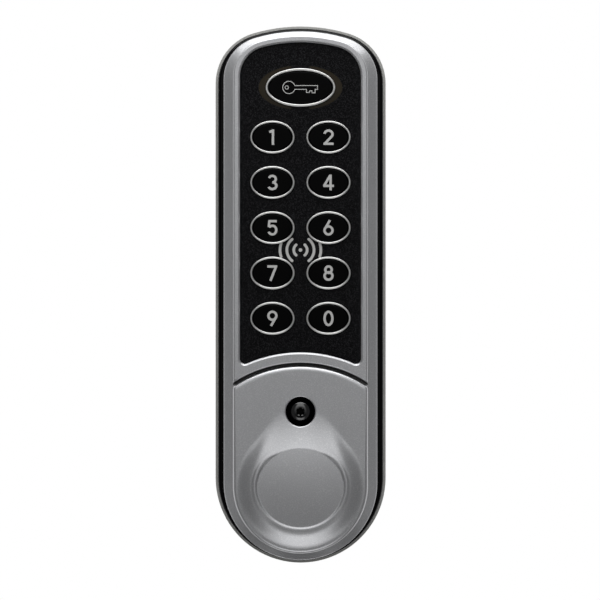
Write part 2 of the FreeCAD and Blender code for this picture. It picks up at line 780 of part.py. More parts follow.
def handle_boss():
    """The round boss: a shallow dish, a raised rim, and flanks that sweep out to the plate."""
    def point(radius, height):
        return at(radius, height, 0)

    foot = handle_front - boss_sink
    floor = boss_front - boss_dish_depth
    rim_end = boss_shoulder_radius - boss_shoulder_drop
    shoulder = boss_front - boss_shoulder_drop
    sweep_radius = boss_shoulder_radius + boss_sweep_out * (boss_foot_radius - boss_shoulder_radius)
    sweep_height = handle_front + boss_sweep_up * boss_rise
    corners = [point(boss_foot_radius, handle_front), point(boss_foot_radius, foot), point(0, foot),
               point(0, floor), point(boss_dish_radius, floor), point(boss_rim_radius, boss_front),
               point(rim_end, boss_front), point(boss_shoulder_radius, shoulder)]
    edges = [Part.makeLine(start, end) for start, end in zip(corners, corners[1:])]
    edges.append(Part.Arc(corners[-1], point(sweep_radius, sweep_height), corners[0]).toShape())
    face = Part.Face(Part.Wire(edges))
    return face.revolve(FreeCAD.Vector(0, 0, 0), FreeCAD.Vector(0, 1, 0), 360)


def handle():
    outline = (handle_half_width, handle_top_radius + 20.0, handle_top_radius, handle_corner_radius * 4)
    plate = slab(outline, handle_back, handle_front).common(rod(handle_top_radius, 0, 100))
    corners = edges_along_depth(plate, handle_half_width, handle_top_radius)
    plate = plate.makeFillet(handle_corner_radius, corners)
    plate = plate.makeFillet(handle_edge_radius, edges_at(plate, handle_front))
    plate = join([plate, handle_boss()])
    plate = plate.cut(hub_arm(hub_fit))
    floor = handle_front - handle_screw_sink
    plate = plate.cut(rod(handle_screw_hole, floor, handle_front + 1, 0, handle_screw_height))
    return plate.cut(rod(handle_screw_radius + drive_clearance, 0, floor, 0, handle_screw_height))


def handle_screw():
    seat = handle_front - handle_screw_sink
    top = seat + handle_screw_head_height
    head = rod(handle_screw_head, seat, top, 0, handle_screw_height)
    head = head.makeFillet(0.7, edges_at(head, top))
    shank = rod(handle_screw_radius, hub_plate_back, seat, 0, handle_screw_height)
    body = join([head, shank])
    return body.cut(hexagon(screw_socket_size, top - screw_socket_depth, top + 1, 0, handle_screw_height))


def handle_hub():
    """The steel hub: plate and arm in the handle, a neck through the deck, a seat for the rotor."""
    body = join([hub_arm(0), rod(hub_neck_radius, hub_shoulder, hub_plate_back + 0.5),
                 rod(hub_seat_radius, hub_back, hub_shoulder)])
    body = body.cut(ring(hub_seat_radius - circlip_groove, hub_seat_radius + 1,
                         circlip_back, circlip_front))
    side = square_drive / 2 + drive_clearance
    body = body.cut(block(-side, side, hub_back, handle_back, -side, side))
    return body.cut(rod(handle_screw_radius + drive_clearance, 0, 100, 0, handle_screw_height))


def hub_bush():
    """The plastic bearing in the deck, with its flange inside the housing."""
    inner = hub_neck_radius + running_clearance
    outer = inner + hub_bush_wall
    return join([ring(inner, outer, deck_back, deck_height),
                 ring(inner, outer + hub_bush_lip, hub_bush_back, deck_back)])


def seal_ring():
    return ring(seal_ring_inner, seal_ring_inner + seal_ring_width,
                deck_height - seal_ring_depth, handle_back - seal_ring_gap)


def gap_seal():
    """A black strip against the bezel's lower wall that closes the gap above the handle."""
    high = bezel_front - gap_seal_sink
    arc = ring(handle_top_radius + gap_seal_clearance, bezel_low_radius, deck_height, high)
    side = bezel_half_width
    return arc.common(block(-side, side, deck_height, high, 0, bezel_low_radius))


def wave_washer():
    return ring(hub_seat_radius, hub_neck_radius + 1.0, rotor_front, rotor_front + washer_thickness)


def lock_rotor():
    """A disc with a notch for the lock pin at each end of the handle's quarter turn."""
    disc = ring(hub_seat_radius, rotor_radius, rotor_back, rotor_front)
    side = pin_half_width + pin_side_gap
    floor = rotor_radius - rotor_notch_depth
    top_notch = block(-side, side, rotor_back, rotor_front, floor, rotor_radius + 1)
    left_notch = block(-rotor_radius - 1, -floor, rotor_back, rotor_front, -side, side)
    return disc.cut(Part.makeCompound([top_notch, left_notch]))


def circlip():
    outer = hub_seat_radius - circlip_groove + circlip_wall
    clip = ring(hub_seat_radius - circlip_groove, outer, circlip_back, circlip_front)
    return clip.cut(block(-1.5, 1.5, circlip_back, circlip_front, -outer - 1, 0))


def spindle():
    """Square at both ends: the front end drives from the hub, and the back end drives the cam."""
    side = square_drive / 2
    front = block(-side, side, barrel_front, hub_plate_back - 0.5, -side, side)
    round_part = rod(spindle_radius, cam_front, barrel_front)
    back = block(-side, side, cam_back + 0.1, cam_front, -side, side)
    body = join([front, round_part, back])
    return body.cut(rod(cam_screw_radius, cam_back, cam_back + cam_screw_depth))


def cam():
    """A flat steel tongue that points up while the handle is upright."""
    plate = block(-cam_half_width, cam_half_width, cam_back, cam_front, 0, cam_reach - cam_half_width)
    tip = rod(cam_half_width, cam_back, cam_front, 0, cam_reach - cam_half_width)
    plate = join([plate, rod(cam_half_width, cam_back, cam_front), tip])
    side = square_drive / 2 + drive_clearance
    return plate.cut(block(-side, side, cam_back, cam_front, -side, side))


def cam_washer():
    return ring(cam_screw_radius + drive_clearance, cam_washer_radius,
                cam_back - cam_washer_thickness, cam_back)


def cam_screw():
    seat = cam_back - cam_washer_thickness
    head_end = seat - cam_screw_head_height
    tip = cam_back + cam_screw_depth - 0.5
    body = screw(0, 0, cam_screw_radius, tip, seat, head_end, cam_screw_head_radius)
    body = body.makeFillet(head_round, edges_at(body, head_end))
    return body.cut(hexagon(screw_socket_size, head_end, head_end + screw_socket_depth))


# ---- Motor and lock pin ------------------------------------------------------------------------------
def lock_motor():
    """A small gearmotor: gearbox below, round-backed motor above, and a socket for the lead screw."""
    half = motor_thickness / 2
    body = block(-motor_half_width, motor_half_width, mechanism_height - half, mechanism_height + half,
                 motor_bottom, motor_top)
    body = body.makeChamfer(motor_corner, [edge for edge in body.Edges
                                  if edge.BoundBox.XLength < 1e-6 and edge.BoundBox.YLength < 1e-6])
    stub = upright(motor_stub_radius, motor_top, motor_top + motor_stub_length, mechanism_height)
    socket = upright(lead_screw_radius + running_clearance, motor_bottom,
                     motor_bottom + motor_socket_depth, mechanism_height)
    return join([body, stub]).cut(socket)


def lead_screw():
    """The motor's threaded shaft, drawn as a row of ridges."""
    bottom = pin_tip + pin_bore_floor + lead_screw_tip_gap
    top = motor_bottom + motor_socket_depth - running_clearance
    body = upright(lead_screw_root, bottom, top, mechanism_height)
    collar_bottom = motor_bottom - lead_screw_collar
    collar = upright(lead_screw_radius, collar_bottom, top, mechanism_height)
    half = lead_screw_pitch / 2
    count = int((collar_bottom - bottom) / lead_screw_pitch)
    ridges = [Part.makeCone(lead_screw_root, lead_screw_radius, half,
                            at(0, mechanism_height, bottom + k * lead_screw_pitch))
              for k in range(count)]
    return join([body, collar] + ridges)


def lock_pin():
    """The sliding pin that drops into a rotor notch, tapped for the lead screw."""
    half = pin_thickness / 2
    body = block(-pin_half_width, pin_half_width, mechanism_height - half, mechanism_height + half,
                 pin_tip, pin_top)
    bore = upright(lead_screw_radius + running_clearance, pin_tip + pin_bore_floor, pin_top, mechanism_height)
    return body.cut(bore)


def motor_bracket():
    """The moulded cradle: it holds the motor and guides the lock pin on both sides."""
    low = base_front
    top = motor_top + bracket_rim
    inside = motor_half_width + bracket_fit
    side = inside + bracket_cheek
    plate = block(-side, side, low, low + bracket_floor, barrel_flange_radius + bracket_end_gap, top)
    motor_floor = mechanism_height - motor_thickness / 2
    cheek_top = mechanism_height + bracket_cheek_rise
    cradle = block(-side, side, low, cheek_top, motor_bottom, top)
    cradle = cradle.cut(block(-inside, inside, motor_floor, cheek_top, motor_bottom, top))
    pin_back = mechanism_height - pin_thickness / 2 - pin_side_gap
    pin_front = mechanism_height + pin_thickness / 2
    slide = pin_half_width + pin_side_gap
    ends = (pin_tip + bracket_end_gap, pin_top + bracket_end_gap)
    left_rail = block(-slide - bracket_rail, -slide, low, pin_front, *ends)
    right_rail = block(slide, slide + bracket_rail, low, pin_front, *ends)
    bed = block(-slide - bracket_rail, slide + bracket_rail, low, pin_back, *ends)
    return join([plate, cradle, bed, left_rail, right_rail])


# ---- Write every piece -------------------------------------------------------------------------------
pieces = {
    "door_gasket": door_gasket(),
    "base_plate": base_plate(),
    "front_housing": front_housing(),
    "keypad_fascia": keypad_fascia(),
    "key_rings": Part.makeCompound([oval_ring(key_half_width, key_half_height, ring_wall, x, z)
                                    for x, z in key_places]),
    "enter_ring": oval_ring(enter_half_width, enter_half_height, enter_ring_wall, 0, enter_row),
    "led_window_left": crescent(-1),
    "led_window_right": crescent(1),
    "enter_key": key_cap(enter_half_width, enter_half_height, 0, enter_row),
    "key_seal": key_seal(),
    "circuit_board": circuit_board(),
    "key_switches": Part.makeCompound([key_switch(x, z) for x, z in all_key_places]),
    "status_leds": Part.makeCompound([status_led(side) for side in (-1, 1)]),
    "board_components": board_components(),
    "buzzer": buzzer(),
    "antenna_coil": antenna_coil(),
    "battery_tray": battery_tray(),
    "batteries": Part.makeCompound([battery(x) for x in battery_places()]),
    "battery_contacts": Part.makeCompound([battery_contact(x) for x in battery_places()]),
    "battery_cover": battery_cover(),
    "battery_cover_screw": battery_cover_screw(),
    "housing_screws": Part.makeCompound([housing_screw(x, z) for x, z in housing_screw_places]),
    "barrel": barrel(),
    "spindle_bushes": spindle_bushes(),
    "back_plate": back_plate(),
    "barrel_nut": barrel_nut(),
    "fixing_screws": Part.makeCompound([fixing_screw(z) for z in (fixing_low, fixing_high)]),
    "hub_bush": hub_bush(),
    "seal_ring": seal_ring(),
    "gap_seal": gap_seal(),
    "lock_motor": lock_motor(),
    "motor_bracket": motor_bracket(),
    "handle": handle(),
    "handle_hub": handle_hub(),
    "handle_screw": handle_screw(),
    "wave_washer": wave_washer(),
    "lock_rotor": lock_rotor(),
    "circlip": circlip(),
    "spindle": spindle(),
    "cam": cam(),
    "cam_washer": cam_washer(),
    "cam_screw": cam_screw(),
    "lead_screw": lead_screw(),
    "lock_pin": lock_pin(),
}
for digit, (x, z) in zip(key_names, key_places):
    pieces["key_" + digit] = key_cap(key_half_width, key_half_height, x, z)

os.makedirs("parts", exist_ok=True)
for name, shape in pieces.items():
    shape.exportStep("parts/" + name + ".step")
    size = shape.BoundBox
    print(f"{name:22} {len(shape.Solids):3} solids  {shape.Volume:9.1f} mm3  valid {shape.isValid()}"
          f"  {size.XLength:.1f} x {size.YLength:.1f} x {size.ZLength:.1f}")
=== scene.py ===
# %% [markdown]
# # A keypad lock for a locker door
#
# The lock is a silver die casting on a black flange. Its raised frame holds a speckled black keypad,
# and a lever handle with a round boss turns below it. The CAD model gives every mechanical piece its
# true size, so this notebook keeps those meshes, gives them finishes, and makes only the pieces whose
# charm is in soft curves or fine print: the handle's sculpted front, the digits and the symbols.
#
# First the frame is loaded. Everything is in metres, with the origin on the handle's axis at the
# door's face, +Z up and -Y towards the viewer.

# %% Load the frame
import json
import math

import bpy
import numpy as np
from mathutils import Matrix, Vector


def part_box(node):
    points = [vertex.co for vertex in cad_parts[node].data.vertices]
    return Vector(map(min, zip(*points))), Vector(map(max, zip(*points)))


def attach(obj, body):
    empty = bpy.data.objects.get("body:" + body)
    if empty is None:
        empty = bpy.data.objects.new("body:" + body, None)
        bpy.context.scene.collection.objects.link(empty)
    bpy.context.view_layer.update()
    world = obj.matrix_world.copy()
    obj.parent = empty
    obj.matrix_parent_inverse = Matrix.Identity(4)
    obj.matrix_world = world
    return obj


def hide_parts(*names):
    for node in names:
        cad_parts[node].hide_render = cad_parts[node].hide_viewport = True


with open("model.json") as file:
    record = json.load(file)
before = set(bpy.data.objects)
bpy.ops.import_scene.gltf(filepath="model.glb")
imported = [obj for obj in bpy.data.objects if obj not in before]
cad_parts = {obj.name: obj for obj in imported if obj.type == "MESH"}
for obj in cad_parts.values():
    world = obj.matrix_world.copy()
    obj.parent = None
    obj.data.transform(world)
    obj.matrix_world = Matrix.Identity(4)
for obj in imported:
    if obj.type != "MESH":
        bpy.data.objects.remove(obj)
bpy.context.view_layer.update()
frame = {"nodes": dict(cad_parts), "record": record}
MM = 0.001
node = frame["nodes"]

# %% [markdown]
# ## Camera
#
# The lock is seen square on, from a little above its middle, through a long lens. Lens shift keeps
# the camera level while the lock sits in the middle of the frame, as in a product catalogue.

# %% Camera
camera_place = (0.0014, -0.600, 0.0584)
view_width = 0.1569          # what the frame takes in at the door's face
camera_data = bpy.data.cameras.new("camera")
camera_data.sensor_width = 36.0
camera_data.lens = camera_data.sensor_width * -camera_place[1] / view_width
camera_data.shift_x = -0.0100
camera_data.shift_y = -0.0767
camera = bpy.data.objects.new("camera", camera_data)
camera.location = camera_place
camera.rotation_euler = (math.pi / 2, 0, 0)
bpy.context.collection.objects.link(camera)
bpy.context.scene.camera = camera
print("lens", round(camera_data.lens, 1), "mm")

# %% [markdown]
# ## Node helpers
#
# A few short functions keep the node trees below readable.

# %% Node helpers
def wire(tree, pairs):
    """Links each (output, input) pair."""
    for source, target in pairs:
        tree.links.new(source, target)


def math_node(tree, operation, b=None):
    """A Math node, with its second value set where one is given."""
    made = tree.nodes.new("ShaderNodeMath")
    made.operation = operation
    if b is not None:
        made.inputs[1].default_value = b
    return made


def noise(tree, scale, detail, roughness):
    """A Noise Texture node with its three main numbers."""
    made = tree.nodes.new("ShaderNodeTexNoise")
    made.inputs["Scale"].default_value = scale
    made.inputs["Detail"].default_value = detail
    made.inputs["Roughness"].default_value = roughness
    return made


def remap(tree, low, high, smooth=False):
    """A Map Range node that takes a range to zero and one."""
    made = tree.nodes.new("ShaderNodeMapRange")
    made.inputs["From Min"].default_value = low
    made.inputs["From Max"].default_value = high
    if smooth:
        made.interpolation_type = "SMOOTHSTEP"
    return made


def colour_mix(tree, value):
    """A colour mix whose second colour is one grey."""
    made = tree.nodes.new("ShaderNodeMix")
    made.data_type = "RGBA"
    made.inputs["B"].default_value = (value, value, value, 1)
    return made


print("node helpers ready")

# %% [markdown]
# ## Light
#
# Satin metal shows its shape by what it mirrors, so the room matters more than the lamps. The camera
# sees plain white, and reflections see a room. It is pale behind the lock. In front it is bright
# overhead, dims towards eye level, is dark below that, and has one bright band low down, which lights
# the lower flank of the handle's boss. It is dim at the sides. A Light Path node chooses between the
# white and the room.

# %% World
side_fade = (0.20, 0.46)            # how far sideways a direction points where the sides take over
back_fade = (-0.25, 0.25)           # how far backwards it points where the backdrop takes over
ground_fade = (-0.85, -0.45)        # the backdrop's own lower edge, in the direction's height


def make_world(pale, behind, aside, front_levels):
    """Brightness in front of the lock follows a direction's height, from a list of (height, value).
    It falls to one value at the sides. Behind the lock everything is one value, except steeply
    downwards."""
    world = bpy.data.worlds.new("studio")
    world.use_nodes = True
    tree = world.node_tree
    tree.nodes.clear()
    coordinate = tree.nodes.new("ShaderNodeTexCoord")
    split = tree.nodes.new("ShaderNodeSeparateXYZ")
    height = remap(tree, -1.0, 1.0)
    ramp = tree.nodes.new("ShaderNodeValToRGB")
    stops = ramp.color_ramp.elements
    while len(stops) < len(front_levels):
        stops.new(0.5)
    for stop, (level, value) in zip(stops, front_levels):
        stop.position = (level + 1) / 2
        stop.color = (value, value, value, 1)
    sideways = math_node(tree, "ABSOLUTE")
    side = remap(tree, *side_fade, smooth=True)
    depth = remap(tree, *back_fade, smooth=True)
    above_ground = remap(tree, *ground_fade, smooth=True)
    backdrop = math_node(tree, "MULTIPLY")
    spread = colour_mix(tree, aside)
    blend = colour_mix(tree, behind)
    room = tree.nodes.new("ShaderNodeBackground")
    seen = tree.nodes.new("ShaderNodeBackground")
    seen.inputs["Color"].default_value = (pale, pale, pale, 1)
    path = tree.nodes.new("ShaderNodeLightPath")
    choose = tree.nodes.new("ShaderNodeMixShader")
    output = tree.nodes.new("ShaderNodeOutputWorld")
    wire(tree, [
        (coordinate.outputs["Generated"], split.inputs[0]),
        (split.outputs["Z"], height.inputs["Value"]),
        (split.outputs["Z"], above_ground.inputs["Value"]),
        (split.outputs["X"], sideways.inputs[0]),
        (sideways.outputs[0], side.inputs["Value"]),
        (split.outputs["Y"], depth.inputs["Value"]),
        (depth.outputs["Result"], backdrop.inputs[0]),
        (above_ground.outputs["Result"], backdrop.inputs[1]),
        (height.outputs["Result"], ramp.inputs["Fac"]),
        (side.outputs["Result"], spread.inputs["Factor"]),
        (ramp.outputs["Color"], spread.inputs["A"]),
        (backdrop.outputs[0], blend.inputs["Factor"]),
        (spread.outputs["Result"], blend.inputs["A"]),
        (blend.outputs["Result"], room.inputs["Color"]),
        (path.outputs["Is Camera Ray"], choose.inputs["Fac"]),
        (room.outputs[0], choose.inputs[1]),
        (seen.outputs[0], choose.inputs[2]),
        (choose.outputs[0], output.inputs["Surface"]),
    ])
    bpy.context.scene.world = world


make_world(pale=1.0, behind=0.85, aside=0.14, front_levels=[
    (-1.0, 0.03), (-0.95, 0.05), (-0.86, 1.3), (-0.66, 1.9), (-0.55, 0.35), (-0.46, 0.03),
    (-0.20, 0.03), (-0.05, 0.33), (0.06, 0.58), (0.18, 0.90), (0.32, 1.6), (1.0, 1.6)])
bpy.context.scene.view_settings.view_transform = "Standard"
print("world ready")

# %% [markdown]
# Two lamps help the room: a strip close above, which fades down the lock's front as it would in a light
# tent, and a small low one that lifts the underside.

# %% Soft boxes
def soft_box(name, place, aim, size, power):
    """A rectangular lamp at a place, facing a point."""
    lamp = bpy.data.lights.new(name, "AREA")
    lamp.shape = "RECTANGLE"
    lamp.size, lamp.size_y = size
    lamp.energy = power
    holder = bpy.data.objects.new(name, lamp)
    holder.location = place
    direction = Vector(aim) - Vector(place)
    holder.rotation_euler = direction.to_track_quat("-Z", "Y").to_euler()
    bpy.context.collection.objects.link(holder)


soft_box("top_strip", place=(0, -0.09, 0.25), aim=(0, -0.02, 0.08), size=(0.30, 0.08), power=0.32)
soft_box("low_strip", place=(0, -0.35, -0.20), aim=(0, -0.02, 0.0), size=(0.30, 0.06), power=0.04)
print("two lamps")

# %% [markdown]
# ## Shared effects
#
# Two effects return in many finishes. *Speckle* scatters fine light and dark flecks, as in metallic
# paint or the grained film of a keypad. *Handling* makes broad, faint patches that are a little
# glossier or duller, as on anything that hands touch. Each is a node group, built once, that only puts
# out values, so every material keeps its own shader.

# %% Node group helpers
def new_group(name, inputs, outputs):
    """An empty shader group with named sockets. Each input is (name, default)."""
    group = bpy.data.node_groups.new(name, "ShaderNodeTree")
    for label, value in inputs:
        kind = "NodeSocketColor" if isinstance(value, tuple) else "NodeSocketFloat"
        socket = group.interface.new_socket(label, in_out="INPUT", socket_type=kind)
        socket.default_value = value
    for label, kind in outputs:
        group.interface.new_socket(label, in_out="OUTPUT", socket_type=kind)
    return group, group.nodes.new("NodeGroupInput"), group.nodes.new("NodeGroupOutput")


# %% Speckle group
def make_speckle():
    """Flecks: fine noise pushed to its extremes, then mixed between a dark and a light colour."""
    group, inside, outside = new_group(
        "speckle",
        [("Base", (0.5, 0.5, 0.5, 1)), ("Fleck", (0.9, 0.9, 0.9, 1)), ("Scale", 4000.0), ("Amount", 0.3),
         ("Threshold", 0.55)],
        [("Color", "NodeSocketColor"), ("Mask", "NodeSocketFloat")])
    place = group.nodes.new("ShaderNodeTexCoord")
    grain = noise(group, 1.0, 1.0, 0.6)
    push = group.nodes.new("ShaderNodeMapRange")
    push.interpolation_type = "SMOOTHSTEP"
    ceiling = math_node(group, "ADD", b=0.16)
    amount = math_node(group, "MULTIPLY")
    mix = group.nodes.new("ShaderNodeMix")
    mix.data_type = "RGBA"
    wire(group, [
        (place.outputs["Object"], grain.inputs["Vector"]),
        (inside.outputs["Scale"], grain.inputs["Scale"]),
        (grain.outputs["Fac"], push.inputs["Value"]),
        (inside.outputs["Threshold"], push.inputs["From Min"]),
        (inside.outputs["Threshold"], ceiling.inputs[0]),
        (ceiling.outputs[0], push.inputs["From Max"]),
        (push.outputs["Result"], amount.inputs[0]),
        (inside.outputs["Amount"], amount.inputs[1]),
        (amount.outputs[0], mix.inputs["Factor"]),
        (inside.outputs["Base"], mix.inputs["A"]),
        (inside.outputs["Fleck"], mix.inputs["B"]),
        (mix.outputs["Result"], outside.inputs["Color"]),
        (push.outputs["Result"], outside.inputs["Mask"]),
    ])
    return group


speckle_group = make_speckle()
print("speckle group ready")


# %% Handling group
def make_handling():
    """Roughness that drifts in broad patches: low noise scaled by an amount, added to a base value."""
    group, inside, outside = new_group(
        "handling", [("Roughness", 0.4), ("Drift", 0.1), ("Scale", 60.0)],
        [("Roughness", "NodeSocketFloat"), ("Mask", "NodeSocketFloat")])
    place = group.nodes.new("ShaderNodeTexCoord")
    patches = noise(group, 60.0, 4.0, 0.6)
    centred = math_node(group, "SUBTRACT", b=0.5)
    scaled = math_node(group, "MULTIPLY")
    total = math_node(group, "ADD")
    wire(group, [
        (place.outputs["Object"], patches.inputs["Vector"]),
        (inside.outputs["Scale"], patches.inputs["Scale"]),
        (patches.outputs["Fac"], centred.inputs[0]),
        (centred.outputs[0], scaled.inputs[0]),
        (inside.outputs["Drift"], scaled.inputs[1]),
        (scaled.outputs[0], total.inputs[0]),
        (inside.outputs["Roughness"], total.inputs[1]),
        (total.outputs[0], outside.inputs["Roughness"]),
        (patches.outputs["Fac"], outside.inputs["Mask"]),
    ])
    return group


handling_group = make_handling()
print("handling group ready")

# %% [markdown]
# ## Finishes
#
# One function lays out the usual chain: flecks feed the colour, patches feed the roughness, and a fine
# noise feeds a Bump node. Each part of the chain is left out where a finish has no use for it. Each
# finish then differs in a few numbers, as paints on a shelf do.

# %% Finish builder
def finish_material(name, base, fleck=None, fleck_amount=0.0, fleck_scale=4000.0, threshold=0.55,
                    metallic=0.0, roughness=0.4, drift=0.0, drift_scale=60.0,
                    bump=0.0, bump_scale=3000.0, bump_depth=0.00002, coat=0.0, coat_roughness=0.1,
                    specular=0.5, stretch=None):
    """A Principled material with flecks, patches and relief, each only where its amount isn't zero."""
    material = bpy.data.materials.new(name)
    material.use_nodes = True
    tree = material.node_tree
    shader = tree.nodes["Principled BSDF"]
    shader.inputs["Base Color"].default_value = (*base, 1)
    shader.inputs["Roughness"].default_value = roughness
    shader.inputs["Metallic"].default_value = metallic
    shader.inputs["Coat Weight"].default_value = coat
    shader.inputs["Coat Roughness"].default_value = coat_roughness
    shader.inputs["Specular IOR Level"].default_value = specular
    if fleck_amount:
        flecks = tree.nodes.new("ShaderNodeGroup")
        flecks.node_tree = speckle_group
        flecks.inputs["Base"].default_value = (*base, 1)
        flecks.inputs["Fleck"].default_value = (*(fleck or [min(1, c * 1.6 + 0.02) for c in base]), 1)
        flecks.inputs["Scale"].default_value = fleck_scale
        flecks.inputs["Amount"].default_value = fleck_amount
        flecks.inputs["Threshold"].default_value = threshold
        wire(tree, [(flecks.outputs["Color"], shader.inputs["Base Color"])])
    if drift:
        patches = tree.nodes.new("ShaderNodeGroup")
        patches.node_tree = handling_group
        patches.inputs["Roughness"].default_value = roughness
        patches.inputs["Drift"].default_value = drift
        patches.inputs["Scale"].default_value = drift_scale
        wire(tree, [(patches.outputs["Roughness"], shader.inputs["Roughness"])])
    if bump:
        add_bump(tree, shader, bump, bump_scale, bump_depth, stretch)
    return material


def add_bump(tree, shader, strength, scale, depth, stretch):
    """Fine relief: noise, stretched along one direction where the metal was brushed or turned."""
    place = tree.nodes.new("ShaderNodeTexCoord")
    relief = noise(tree, scale, 2.0, 0.55)
    raise_node = tree.nodes.new("ShaderNodeBump")
    raise_node.inputs["Strength"].default_value = strength
    raise_node.inputs["Distance"].default_value = depth
    source = place.outputs["Object"]
    if stretch:
        mapping = tree.nodes.new("ShaderNodeMapping")
        mapping.inputs["Scale"].default_value = stretch
        wire(tree, [(source, mapping.inputs["Vector"])])
        source = mapping.outputs[0]
    wire(tree, [(source, relief.inputs["Vector"]),
                (relief.outputs["Fac"], raise_node.inputs["Height"]),
                (raise_node.outputs["Normal"], shader.inputs["Normal"])])


# %% [markdown]
# The silver is a metallic lacquer: tiny flakes in a clear coat. Its flakes are about a fifth of a
# millimetre across, so a scale of several thousand per metre is right.

# %% Finishes for every slot
finishes = {
    "silver_paint": finish_material(
        "silver_paint", (0.50, 0.505, 0.52), fleck=(0.72, 0.72, 0.73), fleck_amount=0.5, fleck_scale=4600,
        threshold=0.50, metallic=0.85, roughness=0.33, drift=0.05, drift_scale=90, bump=0.2,
        bump_scale=5200, bump_depth=0.00001),
    "flange_black": finish_material(
        "flange_black", (0.001, 0.001, 0.0012), roughness=0.14, bump=0.04,
        bump_scale=2600, bump_depth=0.00001, drift=0.04, specular=0.12),
    "fascia_black": finish_material(
        "fascia_black", (0.0025, 0.0025, 0.003), fleck=(0.024, 0.024, 0.026), fleck_amount=0.7,
        fleck_scale=4200, threshold=0.50, roughness=0.30, bump=0.3, bump_scale=4200,
        bump_depth=0.00002, drift=0.04, specular=0.05),
    "key_black": finish_material(
        "key_black", (0.0003, 0.0003, 0.0004), roughness=0.12, drift=0.03, specular=0.06),
    "ring_silver": finish_material(
        "ring_silver", (0.62, 0.62, 0.61), fleck_amount=0.1, metallic=1.0, roughness=0.30, drift=0.05,
        bump=0.05, bump_scale=2500),
    "smoked_lens": finish_material(
        "smoked_lens", (0.018, 0.014, 0.008), fleck=(0.03, 0.024, 0.012), fleck_amount=0.2,
        fleck_scale=900, roughness=0.25, drift=0.03, specular=0.15),
    "gasket_grey": finish_material(
        "gasket_grey", (0.40, 0.40, 0.385), fleck=(0.30, 0.30, 0.29), fleck_amount=0.6, fleck_scale=2200,
        roughness=0.9, bump=0.5, bump_scale=2200, bump_depth=0.00005),
    "silicone_grey": finish_material("silicone_grey", (0.25, 0.25, 0.26), roughness=0.6),
    "silicone_black": finish_material("silicone_black", (0.01, 0.01, 0.01), roughness=0.55,
                                      fleck_amount=0.05),
    "board_green": finish_material("board_green", (0.01, 0.09, 0.035), fleck=(0.02, 0.14, 0.06),
                                   fleck_scale=900, roughness=0.35, coat=0.4),
    "switch_steel": finish_material("switch_steel", (0.55, 0.55, 0.54), metallic=1.0, roughness=0.3),
    "led_white": finish_material("led_white", (0.8, 0.79, 0.7), roughness=0.2, coat=0.5),
    "chip_black": finish_material("chip_black", (0.012, 0.012, 0.013), roughness=0.55, bump=0.4,
                                  bump_scale=4000),
    "copper": finish_material("copper", (0.75, 0.38, 0.2), metallic=1.0, roughness=0.35),
    "moulding_black": finish_material(
        "moulding_black", (0.012, 0.012, 0.013), fleck=(0.03, 0.03, 0.03), fleck_amount=0.3,
        fleck_scale=2500, roughness=0.5, bump=0.5, bump_scale=2600, bump_depth=0.00004),
    "cell_wrap": finish_material("cell_wrap", (0.05, 0.05, 0.055), roughness=0.25, coat=0.4),
    "contact_steel": finish_material("contact_steel", (0.62, 0.61, 0.58), metallic=1.0, roughness=0.25),
    "screw_steel": finish_material(
        "screw_steel", (0.56, 0.57, 0.58), fleck=(0.4, 0.4, 0.41), fleck_amount=0.3, fleck_scale=1500,
        metallic=1.0, roughness=0.28, drift=0.12, drift_scale=400, bump=0.1, bump_scale=1800),
    "screw_black": finish_material(
        "screw_black", (0.002, 0.002, 0.0025), roughness=0.12,
        drift=0.04, drift_scale=500, bump=0.06, bump_scale=2200, specular=1.0),
    "barrel_zinc": finish_material(
        "barrel_zinc", (0.55, 0.55, 0.55), fleck=(0.7, 0.7, 0.7), fleck_amount=0.15, fleck_scale=1200,
        metallic=1.0, roughness=0.30, drift=0.1, drift_scale=200, bump=0.12, bump_scale=900,
        stretch=(1, 5, 1)),
    "acetal_white": finish_material("acetal_white", (0.72, 0.72, 0.69), roughness=0.4),
    "plate_steel": finish_material(
        "plate_steel", (0.42, 0.425, 0.43), fleck=(0.55, 0.55, 0.55), fleck_amount=0.25, fleck_scale=700,
        metallic=1.0, roughness=0.36, drift=0.14, drift_scale=120, bump=0.25, bump_scale=500,
        bump_depth=0.00002, stretch=(6, 6, 0.3)),
    "motor_steel": finish_material("motor_steel", (0.4, 0.4, 0.41), metallic=1.0, roughness=0.3),
    "spring_steel": finish_material("spring_steel", (0.2, 0.21, 0.23), metallic=1.0, roughness=0.3),
    "print_white": finish_material("print_white", (0.50, 0.50, 0.49), roughness=0.6, specular=0.2),
    # Painted shade: near-black matte for the screw's well and socket, standing in for the shadow deep
    # inside them.
    "painted_shade_black": finish_material("painted_shade_black", (0.0012, 0.0012, 0.0013), roughness=0.6, specular=0.05),
    "brass": finish_material(
        "brass", (0.62, 0.45, 0.18), fleck=(0.5, 0.34, 0.12), fleck_amount=0.2, fleck_scale=900,
        metallic=1.0, roughness=0.28, drift=0.1, drift_scale=200),
}
print(len(finishes), "finishes")

# %% Give every CAD node its finish
slot_of = {part["node"]: part["material_slot"] for part in frame["record"]["subparts"]}
for name, thing in node.items():
    thing.data.materials.clear()
    thing.data.materials.append(finishes[slot_of[name]])
print("dressed", len(slot_of), "nodes")

# %% [markdown]
# ## The handle
#
# The handle's front is one soft surface: a slightly domed round face with a low rim beside it, a flank
# that sweeps out to the flat plate, and a neck that runs up towards the screw. A height formula over
# the plate gives that shape.
# The mesh is a fan of rings about the handle's axis: close together where the surface curves, then
# stretched out to the edge, over it and down the side.

